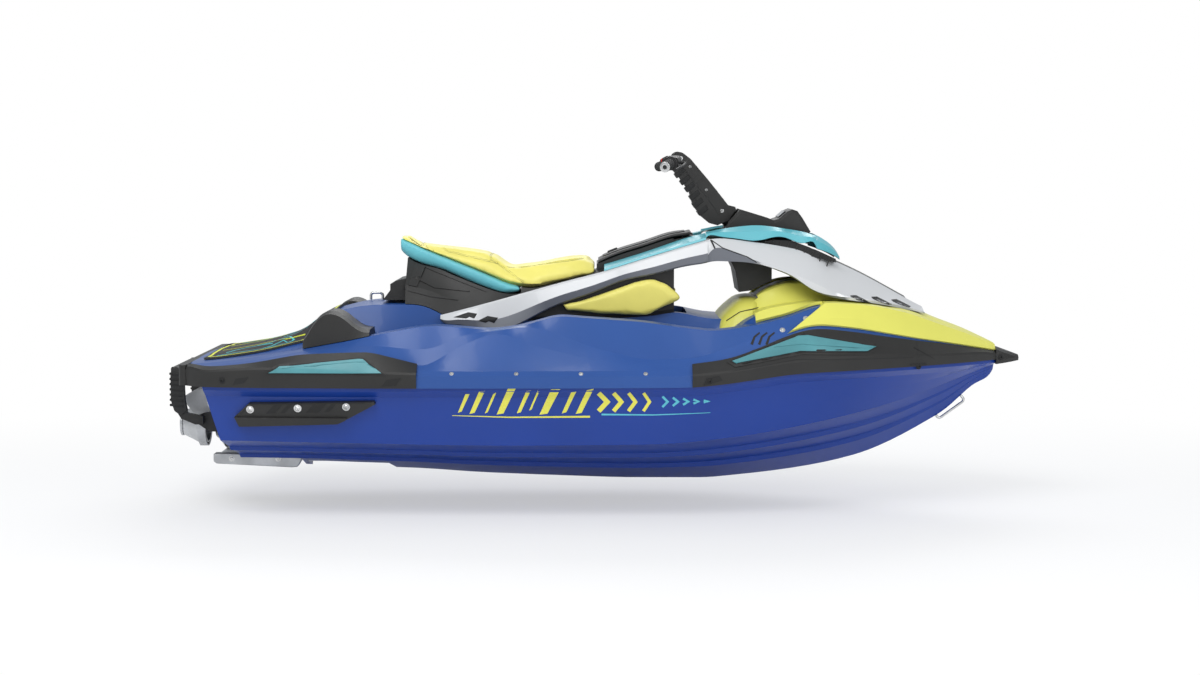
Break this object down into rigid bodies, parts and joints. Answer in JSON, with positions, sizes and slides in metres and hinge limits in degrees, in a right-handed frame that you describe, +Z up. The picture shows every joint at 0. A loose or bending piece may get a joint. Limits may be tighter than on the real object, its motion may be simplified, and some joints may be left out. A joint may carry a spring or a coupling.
{
  "type": "personal watercraft",
  "caption": "Compact two-seat jet-driven personal watercraft with an arched console, lift-off saddle, steering linked to the jet nozzle, reverse bucket and fold-down boarding step.",
  "frame": {"origin": "middle of the overall length, on the centre plane, at the waterline", "axes": "+X forward to the bow, +Y to port, +Z up"},
  "size_m": [3.107, 1.1354, 1.2104],
  "materials": {
    "hull_gelcoat": "gloss",
    "deck_gelcoat": "gloss",
    "bow_gelcoat": "gloss",
    "silver_shell": "gloss",
    "cyan_gloss": "gloss",
    "teal_insert": "satin",
    "black_plastic": "satin",
    "display_glass": "gloss",
    "seat_vinyl": "satin",
    "band_vinyl": "satin",
    "foam_mat": "matte",
    "grip_rubber": "matte",
    "cast_alloy": "cast",
    "stainless": "brushed",
    "engine_paint": "matte"
  },
  "bodies": {
    "craft": {"bow_bumper_left": "black_plastic", "bow_bumper_right": "black_plastic", "bow_deck": "bow_gelcoat", "bow_eye": "stainless", "bow_insert_left": "teal_insert", "bow_insert_right": "teal_insert", "bow_panel_left": "bow_gelcoat", "bow_panel_right": "bow_gelcoat", "console_core": "black_plastic", "cowl_trim_front": "cyan_gloss", "cowl_trim_rear_left": "cyan_gloss", "cowl_trim_rear_right": "cyan_gloss", "deck": "deck_gelcoat", "display": "display_glass", "engine_block": "engine_paint", "foot_chock_left": "black_plastic", "foot_chock_right": "black_plastic", "front_shell_left": "silver_shell", "front_shell_right": "silver_shell", "gauge_cowl": "black_plastic", "hood_strip": "black_plastic", "hull": "hull_gelcoat", "intake_grate": "cast_alloy", "knee_pad_left": "seat_vinyl", "knee_pad_right": "seat_vinyl", "nose_bumper": "black_plastic", "pump_housing": "cast_alloy", "rear_arm_left": "silver_shell", "rear_arm_right": "silver_shell", "rear_mat": "foam_mat", "ride_plate": "cast_alloy", "seat_base": "black_plastic", "sponson_left": "black_plastic", "sponson_right": "black_plastic", "step_bracket_left": "black_plastic", "step_bracket_right": "black_plastic", "stern_bumper": "black_plastic", "stern_eye_left": "stainless", "stern_eye_right": "stainless", "stern_insert_left": "teal_insert", "stern_insert_right": "teal_insert", "tow_hook": "stainless", "well_mat_left": "foam_mat", "well_mat_right": "foam_mat"},
    "steering": {"steering_riser": "black_plastic", "handlebar": "stainless", "grip_left": "grip_rubber", "grip_right": "grip_rubber", "control_pod_left": "black_plastic", "control_pod_right": "black_plastic", "lever_left": "stainless", "lever_right": "stainless"},
    "saddle": {"seat_cushion": "seat_vinyl", "seat_side_band": "band_vinyl"},
    "lid": {"glovebox_lid": "black_plastic"},
    "trim": {"trim_ring": "cast_alloy"},
    "nozzle": {"steering_nozzle": "cast_alloy"},
    "bucket": {"reverse_bucket": "cast_alloy"},
    "step": {"boarding_step": "black_plastic"},
    "impeller": {"impeller": "stainless"}
  },
  "joints": [
    {"name": "steering", "type": "hinge", "parent": "craft", "child": "steering", "pos_m": [0.466, 0, 0.719], "axis": [-0.6428, 0, 0.766], "range_deg": [-22, 22]},
    {"name": "nozzle_trim", "type": "hinge", "parent": "craft", "child": "trim", "pos_m": [-1.456, 0, -0.045], "axis": [0, 1, 0], "range_deg": [-8, 8]},
    {"name": "nozzle_yaw", "type": "hinge", "parent": "trim", "child": "nozzle", "pos_m": [-1.456, 0, -0.045], "axis": [0, 0, 1], "range_deg": [-20, 20]},
    {"name": "reverse_bucket", "type": "hinge", "parent": "craft", "child": "bucket", "pos_m": [-1.428, 0, -0.045], "axis": [0, 1, 0], "range_deg": [-72, 0]},
    {"name": "boarding_step", "type": "hinge", "parent": "craft", "child": "step", "pos_m": [-1.44, 0, -0.012], "axis": [0, 1, 0], "range_deg": [-120, 0]},
    {"name": "glovebox_lid", "type": "hinge", "parent": "craft", "child": "lid", "pos_m": [0.348, 0, 0.6615], "axis": [0, 1, 0], "range_deg": [0, 55]},
    {"name": "saddle_lift", "type": "slide", "parent": "craft", "child": "saddle", "axis": [0, 0, 1], "range_m": [0, 0.3]},
    {"name": "impeller_spin", "type": "hinge", "parent": "craft", "child": "impeller", "pos_m": [-1.326, 0, -0.045], "axis": [1, 0, 0], "continuous": true}
  ],
  "couplings": [
    {"joint": "nozzle_yaw", "follows": "steering", "ratio": -0.9}
  ]
}
